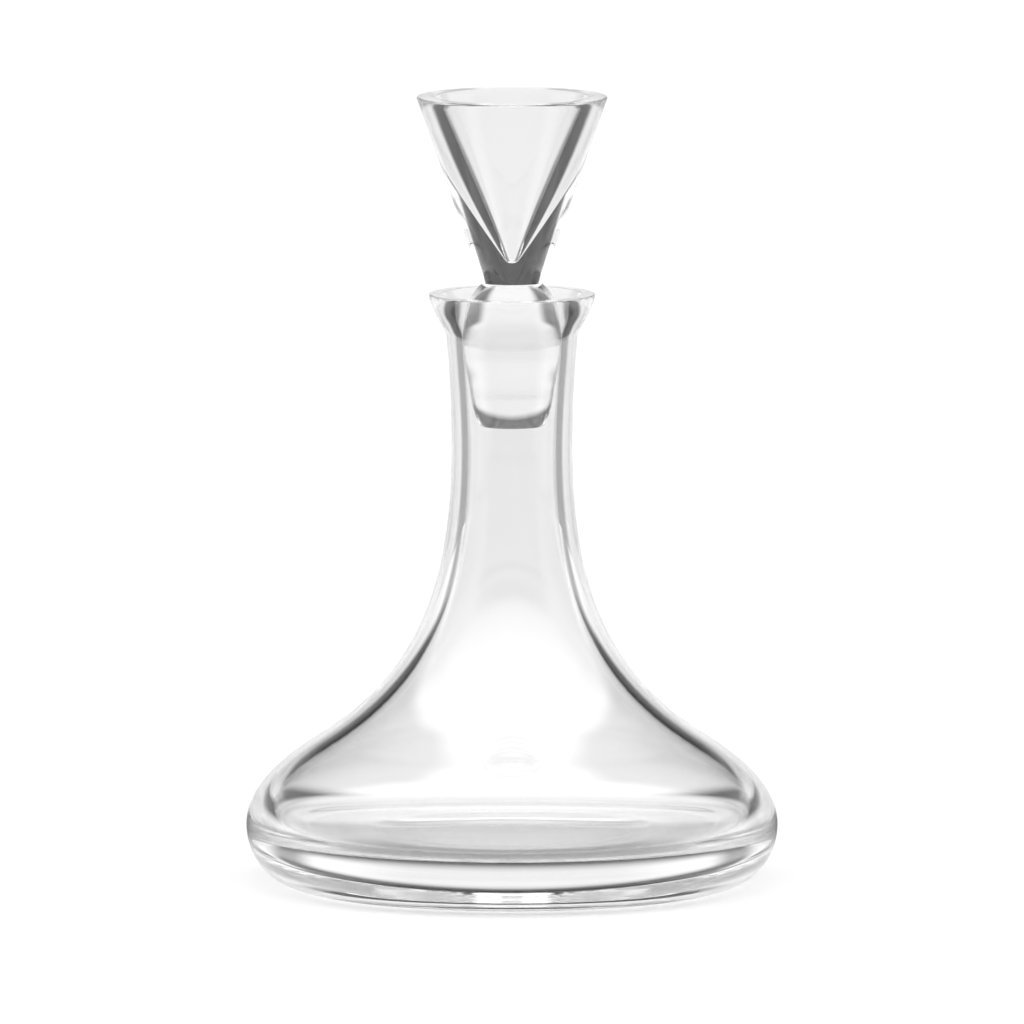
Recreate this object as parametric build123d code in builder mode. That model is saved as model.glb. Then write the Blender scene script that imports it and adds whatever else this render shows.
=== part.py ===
from build123d import *
import os

# Glass decanter with a hollow cone-headed stopper, in millimetres and degrees.
# Both pieces are turned about the Z axis, and the flask stands on Z = 0.
# An outline is walked through named stations (radius, height). Its heading is the way it
# runs there, with 0 outward and 90 straight up, and its pull is how far it holds that heading.

# Flask, outside
foot_radius = 75.8
foot_ring_radius = 56.0
punt_depth = 5.0
belly_radius = 100.0
belly_height = 23.8
shoulder_radius = 72.6
shoulder_height = 56.8
shoulder_heading = 147.8
waist_radius = 22.7
waist_height = 166.0
collar_radius = 24.6
collar_height = 207.4
collar_heading = 84.8
lip_radius = 31.4
lip_height = 224.3
lip_heading = 80.0

foot_pull = 14.2
belly_pull = 13.8
shoulder_pull_below = 15.3
shoulder_pull_above = 41.5
waist_pull_below = 55.0
waist_pull_above = 19.5
collar_pull_below = 11.0
collar_pull_above = 5.5
lip_pull = 8.5
punt_centre_pull = 25.0
punt_edge_pull = 16.0

# Flask, inside: the wall is thin at the neck and thickens into a heavy base
floor_height = 21.4
floor_edge_radius = 80.0
floor_edge_height = 20.2
cavity_radius = 90.8
cavity_height = 27.0
cavity_shoulder_radius = 69.2
cavity_shoulder_height = 51.6
bore_waist_radius = 16.35
bore_waist_height = 164.0
seat_radius = 18.78
seat_height = 207.6
seat_heading = 87.0
mouth_radius = 26.3
mouth_heading = 63.0
lip_rounding = 0.4
mouth_pull = 8.0
seat_pull_above = 5.0
seat_pull_below = 14.0
bore_pull_above = 12.0
bore_pull_below = 55.0
cavity_shoulder_pull_above = 43.0
cavity_shoulder_pull_below = 15.0
cavity_pull_above = 8.0
cavity_pull_below = 5.0
floor_corner_pull = 6.0
floor_edge_pull = 22.0
floor_centre_pull = 25.0

# Stopper: a blunt egg of a plug with its broad end up, a narrow waist and a hollow cone
plug_bottom_height = 174.4
plug_bottom_radius = 11.9
plug_bottom_heading = 44.0
plug_corner_radius = 1.2
plug_side_radius = 15.7
plug_side_height = 186.2
plug_side_heading = 84.0
plug_radius = 18.6
plug_height = 208.6
stopper_waist_radius = 11.35
stopper_waist_height = 228.2
stopper_waist_heading = 140.5
waist_blend_radius = 0.8
cone_top_radius = 36.1
cone_top_height = 298.8
cone_rim_radius = 0.6
hollow_top_radius = 28.6
hollow_tip_height = 238.0
hollow_tip_width = 1.2
hollow_tip_radius = 1.5
hollow_rim_radius = 0.5
plug_corner_pull = 2.2
plug_side_pull_below = 4.6
plug_side_pull_above = 7.5
plug_seat_pull_below = 9.0
plug_seat_pull_above = 7.4
stopper_waist_pull = 6.9


def along(station, heading, distance):
    """The point that lies a distance from a station in a heading."""
    step = Vector(distance, 0).rotate(Axis.Z, heading)
    return Vector(*station) + step


def stretch(start, start_heading, start_pull, end, end_heading, end_pull):
    """One smooth stretch of outline, which leaves and arrives along the given headings."""
    first_handle = along(start, start_heading, start_pull)
    last_handle = along(end, end_heading, -end_pull)
    return Bezier(Vector(*start), first_handle, last_handle, Vector(*end))


# Stations of the flask
punt_centre = (0, punt_depth)
foot_ring = (foot_ring_radius, 0)
foot = (foot_radius, 0)
belly = (belly_radius, belly_height)
shoulder = (shoulder_radius, shoulder_height)
waist = (waist_radius, waist_height)
collar = (collar_radius, collar_height)
lip = (lip_radius, lip_height)
mouth = (mouth_radius, lip_height)
seat = (seat_radius, seat_height)
bore_waist = (bore_waist_radius, bore_waist_height)
cavity_shoulder = (cavity_shoulder_radius, cavity_shoulder_height)
cavity = (cavity_radius, cavity_height)
floor_edge = (floor_edge_radius, floor_edge_height)
floor_centre = (0, floor_height)

# Flask
with BuildPart() as flask:
    with BuildSketch(Plane.XZ) as flask_profile:
        with BuildLine():
            # underside, hollowed so that it stands on a flat ring
            stretch(punt_centre, 0, punt_centre_pull, foot_ring, 0, punt_edge_pull)
            Line(foot_ring, foot)
            # outside, from the foot up to the lip
            stretch(foot, 0, foot_pull, belly, 90, belly_pull)
            stretch(belly, 90, belly_pull, shoulder, shoulder_heading, shoulder_pull_below)
            stretch(shoulder, shoulder_heading, shoulder_pull_above, waist, 90, waist_pull_below)
            stretch(waist, 90, waist_pull_above, collar, collar_heading, collar_pull_below)
            stretch(collar, collar_heading, collar_pull_above, lip, lip_heading, lip_pull)
            # flat rim
            Line(lip, mouth)
            # inside, from the mouth down to the middle of the floor
            stretch(mouth, mouth_heading + 180, mouth_pull, seat, seat_heading + 180, seat_pull_above)
            stretch(seat, seat_heading + 180, seat_pull_below, bore_waist, 270, bore_pull_above)
            stretch(bore_waist, 270, bore_pull_below,
                    cavity_shoulder, shoulder_heading + 180, cavity_shoulder_pull_above)
            stretch(cavity_shoulder, shoulder_heading + 180, cavity_shoulder_pull_below,
                    cavity, 270, cavity_pull_above)
            stretch(cavity, 270, cavity_pull_below, floor_edge, 180, floor_corner_pull)
            stretch(floor_edge, 180, floor_edge_pull, floor_centre, 180, floor_centre_pull)
            Line(floor_centre, punt_centre)
        make_face()
        for corner in (lip, mouth):
            nearest = flask_profile.vertices().sort_by_distance(Vector(*corner))[0]
            fillet(nearest, lip_rounding)
    revolve(axis=Axis.Z)
flask.part.label = "flask"

# Stations of the stopper
plug_centre = (0, plug_bottom_height)
plug_corner = (plug_bottom_radius, plug_bottom_height)
plug_side = (plug_side_radius, plug_side_height)
plug_seat = (plug_radius, plug_height)
stopper_waist = (stopper_waist_radius, stopper_waist_height)
cone_top = (cone_top_radius, cone_top_height)
hollow_top = (hollow_top_radius, cone_top_height)
hollow_tip = (hollow_tip_width, hollow_tip_height)
hollow_apex = (0, hollow_tip_height)
stopper_roundings = [
    (plug_corner, plug_corner_radius),
    (stopper_waist, waist_blend_radius),
    (cone_top, cone_rim_radius),
    (hollow_top, hollow_rim_radius),
    (hollow_tip, hollow_tip_radius),
]

# Stopper: its head is solid where the cone is narrow, and the hollow is open at the top
with BuildPart() as stopper:
    with BuildSketch(Plane.XZ) as stopper_profile:
        with BuildLine():
            Line(plug_centre, plug_corner)
            stretch(plug_corner, plug_bottom_heading, plug_corner_pull,
                    plug_side, plug_side_heading, plug_side_pull_below)
            stretch(plug_side, plug_side_heading, plug_side_pull_above,
                    plug_seat, 90, plug_seat_pull_below)
            stretch(plug_seat, 90, plug_seat_pull_above,
                    stopper_waist, stopper_waist_heading, stopper_waist_pull)
            Line(stopper_waist, cone_top)
            Line(cone_top, hollow_top)
            Line(hollow_top, hollow_tip)
            Line(hollow_tip, hollow_apex)
            Line(hollow_apex, plug_centre)
        make_face()
        for corner, radius in stopper_roundings:
            nearest = stopper_profile.vertices().sort_by_distance(Vector(*corner))[0]
            fillet(nearest, radius)
    revolve(axis=Axis.Z)
stopper.part.label = "stopper"

os.makedirs("parts", exist_ok=True)
export_step(flask.part, "parts/flask.step")
export_step(stopper.part, "parts/stopper.step")
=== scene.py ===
import math

import bpy
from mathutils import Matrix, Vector


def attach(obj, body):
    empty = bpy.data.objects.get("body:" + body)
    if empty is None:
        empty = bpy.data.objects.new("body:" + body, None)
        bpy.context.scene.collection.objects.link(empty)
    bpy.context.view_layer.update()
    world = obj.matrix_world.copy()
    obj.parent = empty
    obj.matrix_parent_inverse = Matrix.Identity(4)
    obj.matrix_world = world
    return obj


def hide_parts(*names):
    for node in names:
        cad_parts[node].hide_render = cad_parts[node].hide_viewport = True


# A clear glass decanter with its hollow cone-headed stopper, on a pale floor in soft light.
# The outlines are in millimetres, and the meshes, floor, light and camera in metres.
# Angles are in degrees. A heading is the way an outline runs, with 0 outward and 90 straight up,
# and a pull is how far the outline holds its heading on either side of a station.
MM = 0.001

# Flask, outside
foot_radius = 75.8
foot_ring_radius = 56.0
punt_depth = 5.0
belly_radius = 100.0
belly_height = 23.8
shoulder_radius = 72.6
shoulder_height = 56.8
shoulder_heading = 147.8
waist_radius = 22.7
waist_height = 166.0
collar_radius = 24.6
collar_height = 207.4
collar_heading = 84.8
lip_radius = 31.4
lip_height = 224.3
lip_heading = 80.0

foot_pull = 14.2
belly_pull = 13.8
shoulder_pull_below = 15.3
shoulder_pull_above = 41.5
waist_pull_below = 55.0
waist_pull_above = 19.5
collar_pull_below = 11.0
collar_pull_above = 5.5
lip_pull = 8.5
punt_centre_pull = 25.0
punt_edge_pull = 16.0

# Flask, inside
floor_height = 21.4
floor_edge_radius = 80.0
floor_edge_height = 20.2
cavity_radius = 90.8
cavity_height = 27.0
cavity_shoulder_radius = 69.2
cavity_shoulder_height = 51.6
bore_waist_radius = 16.35
bore_waist_height = 164.0
seat_radius = 18.78
seat_height = 207.6
seat_heading = 87.0
mouth_radius = 26.3
mouth_heading = 63.0
lip_rounding = 0.4
mouth_pull = 8.0
seat_pull_above = 5.0
seat_pull_below = 14.0
bore_pull_above = 12.0
bore_pull_below = 55.0
cavity_shoulder_pull_above = 43.0
cavity_shoulder_pull_below = 15.0
cavity_pull_above = 8.0
cavity_pull_below = 5.0
floor_corner_pull = 6.0
floor_edge_pull = 22.0
floor_centre_pull = 25.0

# Stopper
plug_bottom_height = 174.4
plug_bottom_radius = 11.9
plug_bottom_heading = 44.0
plug_corner_radius = 1.2
plug_side_radius = 15.7
plug_side_height = 186.2
plug_side_heading = 84.0
plug_radius = 18.6
plug_height = 208.6
stopper_waist_radius = 11.35
stopper_waist_height = 228.2
stopper_waist_heading = 140.5
waist_blend_radius = 0.8
cone_top_radius = 36.1
cone_top_height = 298.8
cone_rim_radius = 0.6
hollow_top_radius = 28.6
hollow_tip_height = 238.0
hollow_tip_width = 1.2
hollow_tip_radius = 1.5
hollow_rim_radius = 0.5
plug_corner_pull = 2.2
plug_side_pull_below = 4.6
plug_side_pull_above = 7.5
plug_seat_pull_below = 9.0
plug_seat_pull_above = 7.4
stopper_waist_pull = 6.9

# Fineness of the meshes
STEPS_AROUND = 288
STEPS_PER_STRETCH = 26
STEPS_PER_ROUNDING = 8
STEPS_PER_RIM = 4
STEPS_PER_CONE = 40
STEPS_PER_DISC = 12
CLOSEST_POINTS = 0.02
ROUNDING_MARGIN = 0.1
WAIST_MARGIN = 0.2
AXIS_MARGIN = 0.05
ON_AXIS = 0.000001

# Floor
FLOOR_RADIUS = 150.0
FLOOR_CORNERS = 72
FLOOR_SINK = 0.0001
FLOOR_TONE = 0.97

# Camera
CAMERA_DISTANCE = 12.0
CAMERA_ELEVATION = 6.5
AIM_HEIGHT = 0.14162
WIDTH_IN_VIEW = 0.3852288
SENSOR_WIDTH = 36
NEAREST_SEEN = 0.1
FARTHEST_SEEN = 500

# Light is turned round many times inside the heavy glass base before it gets out again.
GLASS_BOUNCES = 128

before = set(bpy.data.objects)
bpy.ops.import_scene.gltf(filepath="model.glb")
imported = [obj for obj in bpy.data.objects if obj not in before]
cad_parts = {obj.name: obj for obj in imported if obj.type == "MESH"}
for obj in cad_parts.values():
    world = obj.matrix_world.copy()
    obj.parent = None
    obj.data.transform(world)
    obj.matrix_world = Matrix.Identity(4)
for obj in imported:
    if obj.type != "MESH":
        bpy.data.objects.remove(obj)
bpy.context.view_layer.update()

scene = bpy.context.scene
scene.view_settings.view_transform = "Standard"
scene.cycles.use_denoising = True
scene.cycles.max_bounces = GLASS_BOUNCES
scene.cycles.transmission_bounces = GLASS_BOUNCES
scene.cycles.glossy_bounces = GLASS_BOUNCES
scene.cycles.diffuse_bounces = 3
scene.cycles.blur_glossy = 0


# ---------------------------------------------------------------- outlines
def along(station, heading, distance):
    """The point that lies a distance from a station in a heading."""
    turn = math.radians(heading)
    return Vector((station[0] + distance * math.cos(turn), station[1] + distance * math.sin(turn)))


def stretch(start, start_heading, start_pull, end, end_heading, end_pull):
    """Points along one smooth stretch of outline that leaves and arrives on the given headings."""
    a, d = Vector(start), Vector(end)
    b = along(start, start_heading, start_pull)
    c = along(end, end_heading, -end_pull)
    points = []
    for i in range(STEPS_PER_STRETCH + 1):
        t = i / STEPS_PER_STRETCH
        points.append((1 - t) ** 3 * a + 3 * (1 - t) ** 2 * t * b + 3 * (1 - t) * t * t * c + t ** 3 * d)
    return points


def straight(start, end, steps):
    """Points along a straight line."""
    a, b = Vector(start), Vector(end)
    return [a.lerp(b, i / steps) for i in range(steps + 1)]


def rounding(before, corner, after, radius):
    """Points of an arc of that radius in the corner between two directions."""
    before, corner, after = Vector(before), Vector(corner), Vector(after)
    back = (before - corner).normalized()
    on = (after - corner).normalized()
    half = back.angle(on) / 2
    middle = corner + (back + on).normalized() * (radius / math.sin(half))
    reach = radius / math.tan(half)
    first = corner + back * reach - middle
    last = corner + on * reach - middle
    turn = first.angle_signed(last)
    points = []
    for i in range(STEPS_PER_ROUNDING + 1):
        a = -turn * i / STEPS_PER_ROUNDING
        points.append(middle + Vector((first.x * math.cos(a) - first.y * math.sin(a),
                                       first.x * math.sin(a) + first.y * math.cos(a))))
    return points


def below(points, height):
    """The points of a stretch that lie below a height."""
    return [p for p in points if p.y < height]


def above(points, height):
    """The points of a stretch that lie above a height."""
    return [p for p in points if p.y > height]


def chain(*parts):
    """One outline from several, without doubled points."""
    points = []
    for part in parts:
        for p in part:
            p = Vector(p)
            if not points or (p - points[-1]).length > CLOSEST_POINTS:
                points.append(p)
    return points


def flask_outline():
    """From the middle of the underside, up the outside, over the lip and down the inside."""
    punt_centre = (0, punt_depth)
    foot_ring = (foot_ring_radius, 0)
    foot = (foot_radius, 0)
    belly = (belly_radius, belly_height)
    shoulder = (shoulder_radius, shoulder_height)
    waist = (waist_radius, waist_height)
    collar = (collar_radius, collar_height)
    lip = (lip_radius, lip_height)
    mouth = (mouth_radius, lip_height)
    seat = (seat_radius, seat_height)
    bore_waist = (bore_waist_radius, bore_waist_height)
    cavity_shoulder = (cavity_shoulder_radius, cavity_shoulder_height)
    cavity = (cavity_radius, cavity_height)
    floor_edge = (floor_edge_radius, floor_edge_height)
    floor_centre = (0, floor_height)

    outer_flare = stretch(collar, collar_heading, collar_pull_above, lip, lip_heading, lip_pull)
    inner_flare = stretch(mouth, mouth_heading + 180, mouth_pull, seat, seat_heading + 180, seat_pull_above)
    lip_arc = rounding(outer_flare[-2], lip, mouth, lip_rounding)
    mouth_arc = rounding(lip, mouth, inner_flare[1], lip_rounding)
    return chain(
        stretch(punt_centre, 0, punt_centre_pull, foot_ring, 0, punt_edge_pull),
        [foot_ring, foot],
        stretch(foot, 0, foot_pull, belly, 90, belly_pull),
        stretch(belly, 90, belly_pull, shoulder, shoulder_heading, shoulder_pull_below),
        stretch(shoulder, shoulder_heading, shoulder_pull_above, waist, 90, waist_pull_below),
        stretch(waist, 90, waist_pull_above, collar, collar_heading, collar_pull_below),
        below(outer_flare, lip_arc[0].y - ROUNDING_MARGIN),
        lip_arc,
        straight(lip_arc[-1], mouth_arc[0], STEPS_PER_RIM),
        mouth_arc,
        below(inner_flare, mouth_arc[-1].y - ROUNDING_MARGIN),
        stretch(seat, seat_heading + 180, seat_pull_below, bore_waist, 270, bore_pull_above),
        stretch(bore_waist, 270, bore_pull_below,
                cavity_shoulder, shoulder_heading + 180, cavity_shoulder_pull_above),
        stretch(cavity_shoulder, shoulder_heading + 180, cavity_shoulder_pull_below,
                cavity, 270, cavity_pull_above),
        stretch(cavity, 270, cavity_pull_below, floor_edge, 180, floor_corner_pull),
        stretch(floor_edge, 180, floor_edge_pull, floor_centre, 180, floor_centre_pull),
    )


def stopper_outline():
    """From the middle of the plug's bottom, up the outside, over the rim and down the hollow."""
    plug_centre = (0, plug_bottom_height)
    plug_corner = (plug_bottom_radius, plug_bottom_height)
    plug_side = (plug_side_radius, plug_side_height)
    plug_seat = (plug_radius, plug_height)
    stopper_waist = (stopper_waist_radius, stopper_waist_height)
    cone_top = (cone_top_radius, cone_top_height)
    hollow_top = (hollow_top_radius, cone_top_height)
    hollow_tip = (hollow_tip_width, hollow_tip_height)
    hollow_apex = (0, hollow_tip_height)

    plug_rise = stretch(plug_corner, plug_bottom_heading, plug_corner_pull,
                        plug_side, plug_side_heading, plug_side_pull_below)
    plug_dome = stretch(plug_seat, 90, plug_seat_pull_above,
                        stopper_waist, stopper_waist_heading, stopper_waist_pull)
    corner_arc = rounding(plug_centre, plug_corner, plug_rise[2], plug_corner_radius)
    waist_arc = rounding(plug_dome[-3], stopper_waist, cone_top, waist_blend_radius)
    rim_arc = rounding(stopper_waist, cone_top, hollow_top, cone_rim_radius)
    inner_rim_arc = rounding(cone_top, hollow_top, hollow_tip, hollow_rim_radius)
    tip_arc = rounding(hollow_top, hollow_tip, hollow_apex, hollow_tip_radius)
    tip_arc = [p for p in tip_arc if p.x > AXIS_MARGIN]
    return chain(
        straight(plug_centre, corner_arc[0], STEPS_PER_DISC),
        corner_arc,
        above(plug_rise, corner_arc[-1].y + ROUNDING_MARGIN),
        stretch(plug_side, plug_side_heading, plug_side_pull_above, plug_seat, 90, plug_seat_pull_below),
        below(plug_dome, waist_arc[0].y - WAIST_MARGIN),
        waist_arc,
        straight(waist_arc[-1], rim_arc[0], STEPS_PER_CONE),
        rim_arc,
        straight(rim_arc[-1], inner_rim_arc[0], STEPS_PER_RIM),
        inner_rim_arc,
        straight(inner_rim_arc[-1], tip_arc[0], STEPS_PER_CONE),
        tip_arc,
        [(0, tip_arc[-1].y)],
    )


def turned(name, outline):
    """A mesh of the outline turned about Z, closed on the axis."""
    vertices, rings, faces = [], [], []
    for radius, height in outline:
        if radius < ON_AXIS:
            rings.append([len(vertices)] * STEPS_AROUND)
            vertices.append((0, 0, height * MM))
            continue
        rings.append(range(len(vertices), len(vertices) + STEPS_AROUND))
        for step in range(STEPS_AROUND):
            angle = 2 * math.pi * step / STEPS_AROUND
            vertices.append((radius * math.cos(angle) * MM, radius * math.sin(angle) * MM, height * MM))
    for lower, upper in zip(rings, rings[1:]):
        for step in range(STEPS_AROUND):
            after = (step + 1) % STEPS_AROUND
            corners = (lower[step], lower[after], upper[after], upper[step])
            faces.append(tuple(dict.fromkeys(corners)))
    mesh = bpy.data.meshes.new(name)
    mesh.from_pydata(vertices, [], faces)
    mesh.polygons.foreach_set("use_smooth", [True] * len(faces))
    mesh.update()
    piece = bpy.data.objects.new(name, mesh)
    scene.collection.objects.link(piece)
    return piece


# ---------------------------------------------------------------- nodes
class Nodes:
    """Short hands for building one node tree."""

    def __init__(self, tree):
        self.tree = tree

    def add(self, kind, **settings):
        node = self.tree.nodes.new(kind)
        for key, value in settings.items():
            setattr(node, key, value)
        return node

    def put(self, socket, value):
        if isinstance(value, bpy.types.NodeSocket):
            self.tree.links.new(value, socket)
        else:
            socket.default_value = value

    def math(self, operation, *values):
        node = self.add("ShaderNodeMath", operation=operation)
        for socket, value in zip(node.inputs, values):
            self.put(socket, value)
        return node.outputs[0]

    def rise(self, value, low, high, start=0.0, end=1.0):
        """Goes smoothly from start to end as value goes from low to high."""
        node = self.add("ShaderNodeMapRange", interpolation_type="SMOOTHSTEP")
        for socket, given in zip(node.inputs, (value, low, high, start, end)):
            self.put(socket, given)
        return node.outputs[0]

    def fall(self, value, low, high):
        """Goes smoothly from 1 to 0 as value goes from low to high."""
        return self.rise(value, low, high, 1, 0)

    def both(self, a, b):
        return self.math("MULTIPLY", a, b)

    def between(self, value, rise_low, rise_high, fall_low, fall_high):
        """1 in the middle of a range of values, and smoothly 0 outside it."""
        return self.both(self.rise(value, rise_low, rise_high), self.fall(value, fall_low, fall_high))

    def mix(self, factor, a, b):
        node = self.add("ShaderNodeMix", data_type="FLOAT")
        self.put(node.inputs[0], factor)
        self.put(node.inputs[2], a)
        self.put(node.inputs[3], b)
        return node.outputs[0]

    def split(self, vector):
        node = self.add("ShaderNodeSeparateXYZ")
        self.put(node.inputs[0], vector)
        return node.outputs

    def azimuth(self, x, y):
        """Degrees round from straight behind the decanter, on either side: 180 is the camera's side."""
        return self.math("MULTIPLY", self.math("ABSOLUTE", self.math("ARCTAN2", x, y)), 180 / math.pi)


def clear_glass():
    material = bpy.data.materials.new("clear_glass")
    material.use_nodes = True
    n = Nodes(material.node_tree)
    shader = material.node_tree.nodes["Principled BSDF"]
    shader.inputs["Base Color"].default_value = (1.0, 1.0, 1.0, 1)
    shader.inputs["Transmission Weight"].default_value = 1.0
    shader.inputs["IOR"].default_value = 1.5
    place = n.add("ShaderNodeTexCoord").outputs["Object"]
    # faint unevenness of the polish
    polish = n.add("ShaderNodeTexNoise", noise_dimensions="3D")
    n.put(polish.inputs["Vector"], place)
    n.put(polish.inputs["Scale"], 60.0)
    polished = n.rise(polish.outputs["Fac"], 0.35, 0.75, 0.0, 0.012)
    # the flat ring that the flask stands on is ground, not polished
    height = n.split(place)[2]
    n.put(shader.inputs["Roughness"], n.rise(height, 0.00002, 0.0002, 0.22, polished))
    return material


def pale_floor_with_painted_shade():
    """Plain where it is seen straight. Seen through the glass it carries painted shade: dark patches
    painted behind and beside the decanter, on either side of a bright strip, and on the camera's side."""
    material = bpy.data.materials.new("pale_floor_with_painted_shade")
    material.use_nodes = True
    n = Nodes(material.node_tree)
    shader = material.node_tree.nodes["Principled BSDF"]
    shader.inputs["Roughness"].default_value = 1.0
    shader.inputs["Specular IOR Level"].default_value = 0.0
    x, y, _ = n.split(n.add("ShaderNodeNewGeometry").outputs["Position"])
    azimuth = n.azimuth(x, y)
    distance = n.math("SQRT", n.math("ADD", n.both(x, x), n.both(y, y)))
    # painted shade on the floor, seen through the glass: a grey band, a darker patch close by, a dark far
    # front and a black patch beside
    grey_side_band = n.between(azimuth, 28, 42, 56, 68)
    painted_close_shade = n.both(n.between(azimuth, 18, 30, 75, 95), n.fall(distance, 0.55, 0.75))
    dark_front = n.both(n.rise(azimuth, 108, 128), n.rise(distance, 0.85, 1.3))
    painted_black_shade = n.both(n.between(azimuth, 50, 60, 84, 100), n.fall(distance, 0.6, 0.85))
    shade = n.mix(grey_side_band, n.rise(distance, 0.4, 1.2, 0.9, 0.8), 0.34)
    shade = n.mix(painted_close_shade, shade, 0.09)
    shade = n.mix(dark_front, shade, 0.08)
    shade = n.mix(painted_black_shade, shade, 0.06)
    # painted light close round the foot and under it, and a painted shadow under the front of the base
    shade = n.mix(n.rise(distance, 0.12, 0.2), 0.86, shade)
    painted_shadow_under_front = n.rise(azimuth, 110, 140, 0.8, 0.45)
    under = n.mix(n.rise(distance, 0.058, 0.066), 0.95, painted_shadow_under_front)
    shade = n.mix(n.rise(distance, 0.094, 0.104), under, shade)
    # seen straight the floor keeps an even pale tone; the painted shade above shows only where the floor is
    # seen through the glass
    straight_view = n.add("ShaderNodeLightPath").outputs["Is Camera Ray"]
    n.put(shader.inputs["Base Color"], n.mix(straight_view, shade, FLOOR_TONE))
    return material


def round_floor():
    mesh = bpy.data.meshes.new("floor")
    corners = []
    for step in range(FLOOR_CORNERS):
        angle = 2 * math.pi * step / FLOOR_CORNERS
        corners.append((FLOOR_RADIUS * math.cos(angle), FLOOR_RADIUS * math.sin(angle), -FLOOR_SINK))
    mesh.from_pydata(corners, [], [tuple(range(FLOOR_CORNERS))])
    mesh.materials.append(pale_floor_with_painted_shade())
    floor = bpy.data.objects.new("floor", mesh)
    scene.collection.objects.link(floor)
    return floor


def soft_studio():
    """A bright backdrop panel behind, dark cards beside it, over it and on the camera's side, and
    softboxes at the sides and on the ceiling."""
    world = bpy.data.worlds.new("studio")
    world.use_nodes = True
    n = Nodes(world.node_tree)
    x, y, z = n.split(n.add("ShaderNodeTexCoord").outputs["Generated"])
    azimuth = n.azimuth(x, y)
    elevation = n.math("MULTIPLY", n.math("ARCSINE", z), 180 / math.pi)
    grey_side_band = n.between(azimuth, 36, 46, 56, 68)
    backdrop = n.mix(grey_side_band, n.rise(azimuth, 14, 30, 0.9, 1.05), 0.4)
    behind = n.rise(elevation, 6.5, 13, backdrop, 0.04)
    behind_part = n.both(n.fall(azimuth, 50, 62), n.fall(elevation, 60, 70))
    dark_front = n.both(n.rise(azimuth, 112, 130), n.fall(elevation, 24, 34))
    softboxes = n.rise(elevation, 25, 60, 1.1, 1.85)
    light = n.mix(behind_part, softboxes, behind)
    light = n.mix(dark_front, light, 0.1)
    background = world.node_tree.nodes["Background"]
    background.inputs["Color"].default_value = (1, 1, 1, 1)
    n.put(background.inputs["Strength"], light)
    return world


def front_camera():
    """A long lens, a little above the table."""
    camera = bpy.data.cameras.new("camera")
    camera.sensor_width = SENSOR_WIDTH
    camera.lens = SENSOR_WIDTH * CAMERA_DISTANCE / WIDTH_IN_VIEW
    camera.clip_start = NEAREST_SEEN
    camera.clip_end = FARTHEST_SEEN
    camera_object = bpy.data.objects.new("camera", camera)
    tilt = math.radians(CAMERA_ELEVATION)
    back = CAMERA_DISTANCE * math.cos(tilt)
    up = CAMERA_DISTANCE * math.sin(tilt)
    camera_object.location = (0, -back, AIM_HEIGHT + up)
    camera_object.rotation_euler = (math.radians(90) - tilt, 0, 0)
    scene.collection.objects.link(camera_object)
    return camera_object


# ---------------------------------------------------------------- the pieces
glass = clear_glass()
for name, outline in (("flask", flask_outline()), ("stopper", stopper_outline())):
    piece = turned("glass_" + name, outline)
    piece.data.materials.append(glass)
    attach(piece, name)
    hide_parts(name)

# ---------------------------------------------------------------- the studio
floor = round_floor()
scene.world = soft_studio()
scene.camera = front_camera()
